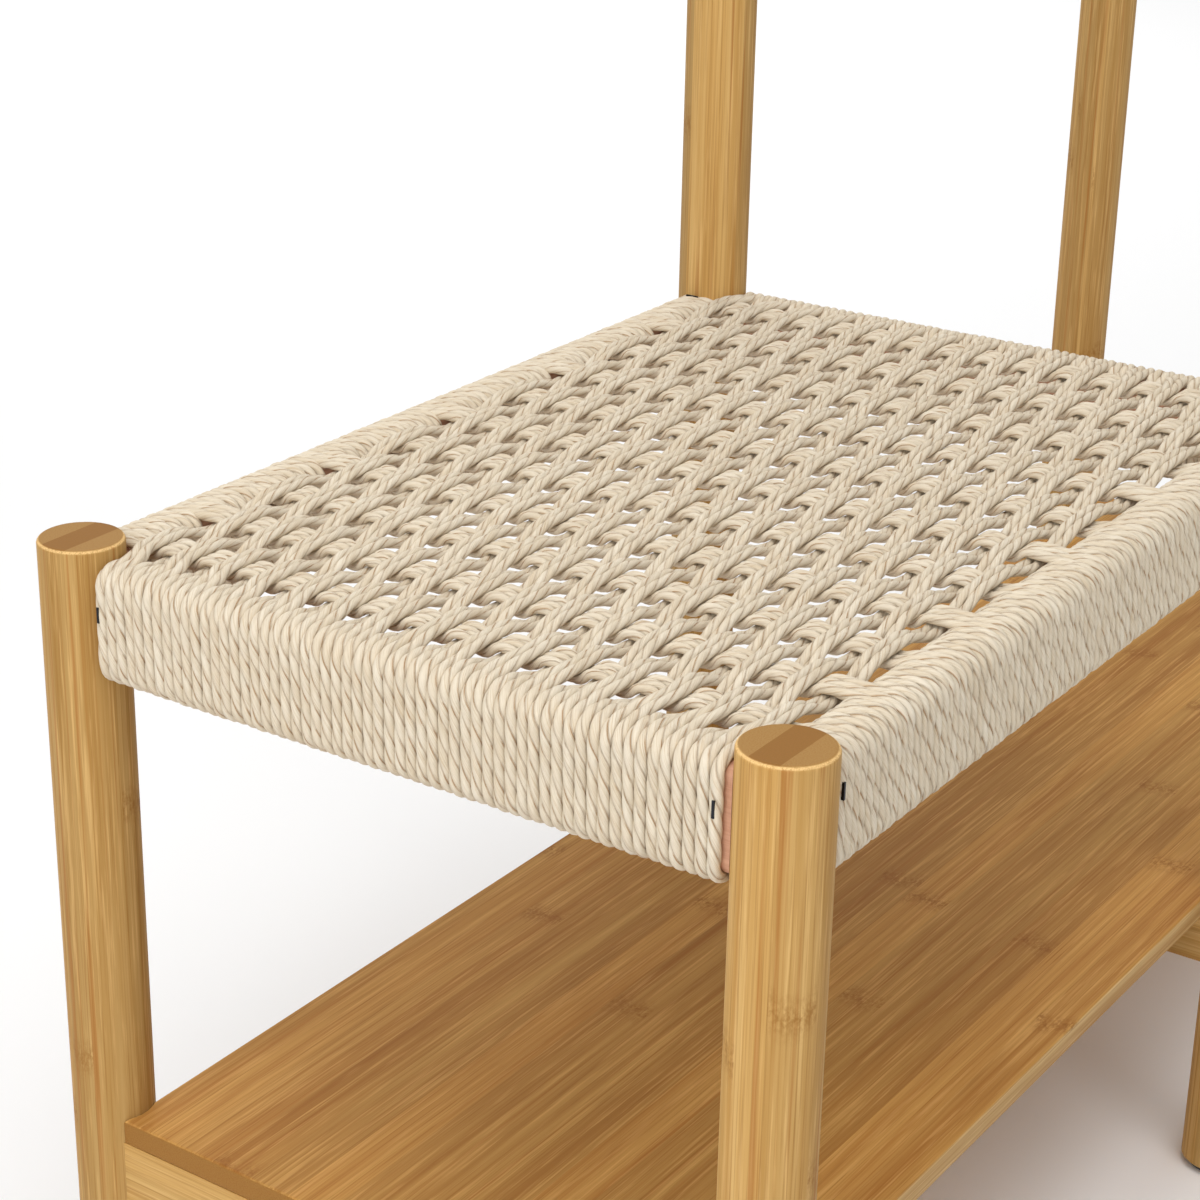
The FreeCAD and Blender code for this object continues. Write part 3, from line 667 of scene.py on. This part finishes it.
def paint_cad():
    """Gives the CAD nodes their materials: the first in the table whose key is part of the node's name.
    The cord's nails and the shelf's bolts, nuts and screws keep the plain metal that they come with."""
    along_x = bamboo("frame_bamboo_long", 0, FRAME_STRIP, PALE_BAMBOO, DEEP_BAMBOO)
    along_y = bamboo("frame_bamboo_cross", 1, FRAME_STRIP, PALE_BAMBOO, DEEP_BAMBOO)
    rail_x = hardwood("rail_wood_long", 0, PALE_RAIL, DEEP_RAIL)
    rail_y = hardwood("rail_wood_cross", 1, PALE_RAIL, DEEP_RAIL)
    table = {
        "_post": bamboo("post_bamboo", 2, POST_STRIP, PALE_BAMBOO, DEEP_BAMBOO, post_row=abs(LEFT_POST[1])),
        "_glide": plastic("glide_plastic", GLIDE_PLASTIC),
        "lower_shelf": bamboo("shelf_bamboo", 0, SHELF_STRIP, PALE_SHELF, DEEP_SHELF, SHELF_EDGE),
        "dowels": hardwood("dowel_wood", 0, PALE_DOWEL, DEEP_DOWEL),
        "coat_board_bolts": metal("bolt_steel", BOLT_STEEL, 0.38),
        "coat_board_nuts": metal("zinc_steel", ZINC_STEEL, 0.32),
        "cord_staples": metal("black_steel", BLACK_STEEL, 0.4),
        "left_seat_rail": rail_y,
        "right_seat_rail": rail_y,
        "_seat_rail": rail_x,
        "_shelf_rail": along_y,
        "coat_board": along_x,
        "coat_peg": along_y,
        "top_rail": along_x,
    }
    for name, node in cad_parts.items():
        material = next((material for key, material in table.items() if key in name), None)
        if material:
            node.data.materials.clear()
            node.data.materials.append(material)


build_cords(cord_material())
paint_cad()


# ---------------------------------------------------------------- stage, lights and camera

def add_stage():
    mesh = bpy.data.meshes.new("floor")
    corners = [(FLOOR_REACH * x, FLOOR_REACH * y, 0) for x, y in ((-1, -1), (1, -1), (1, 1), (-1, 1))]
    mesh.from_pydata(corners, [], [(0, 1, 2, 3)])
    floor = bpy.data.objects.new("floor", mesh)
    bpy.context.scene.collection.objects.link(floor)
    mesh.materials.append(floor_material())
    world = bpy.data.worlds.new("studio")
    bpy.context.scene.world = world
    world.use_nodes = True
    world.node_tree.nodes["Background"].inputs["Color"].default_value = (1, 1, 1, 1)
    world.node_tree.nodes["Background"].inputs["Strength"].default_value = WORLD_STRENGTH


def add_light(name, place, target, size, power):
    data = bpy.data.lights.new(name, "AREA")
    data.size = size
    data.energy = power
    lamp = bpy.data.objects.new(name, data)
    bpy.context.scene.collection.objects.link(lamp)
    lamp.location = place
    lamp.rotation_euler = (Vector(target) - Vector(place)).to_track_quat("-Z", "Y").to_euler()


def add_camera():
    """The camera stands beyond the seat's left end, in front of the bench, and looks down across the seat."""
    corner = post_axis("back_left_post")
    corner[2] = low_high("back_left_post")[1][2]
    yaw, pitch = math.radians(CAMERA_YAW), math.radians(CAMERA_PITCH)
    look = Vector((math.cos(yaw) * math.cos(pitch), math.sin(yaw) * math.cos(pitch), -math.sin(pitch)))
    data = bpy.data.cameras.new("camera")
    data.sensor_width = CAMERA_SENSOR
    data.lens = CAMERA_LENS
    data.shift_x = CAMERA_SHIFT
    data.clip_start = 0.05
    camera = bpy.data.objects.new("camera", data)
    bpy.context.scene.collection.objects.link(camera)
    camera.location = corner + np.array(CAMERA_OFFSET)
    camera.rotation_euler = look.to_track_quat("-Z", "Y").to_euler()
    bpy.context.scene.camera = camera


add_stage()
for soft_box in SOFT_BOXES:
    add_light(*soft_box)
add_camera()
bpy.context.scene.view_settings.view_transform = "Standard"
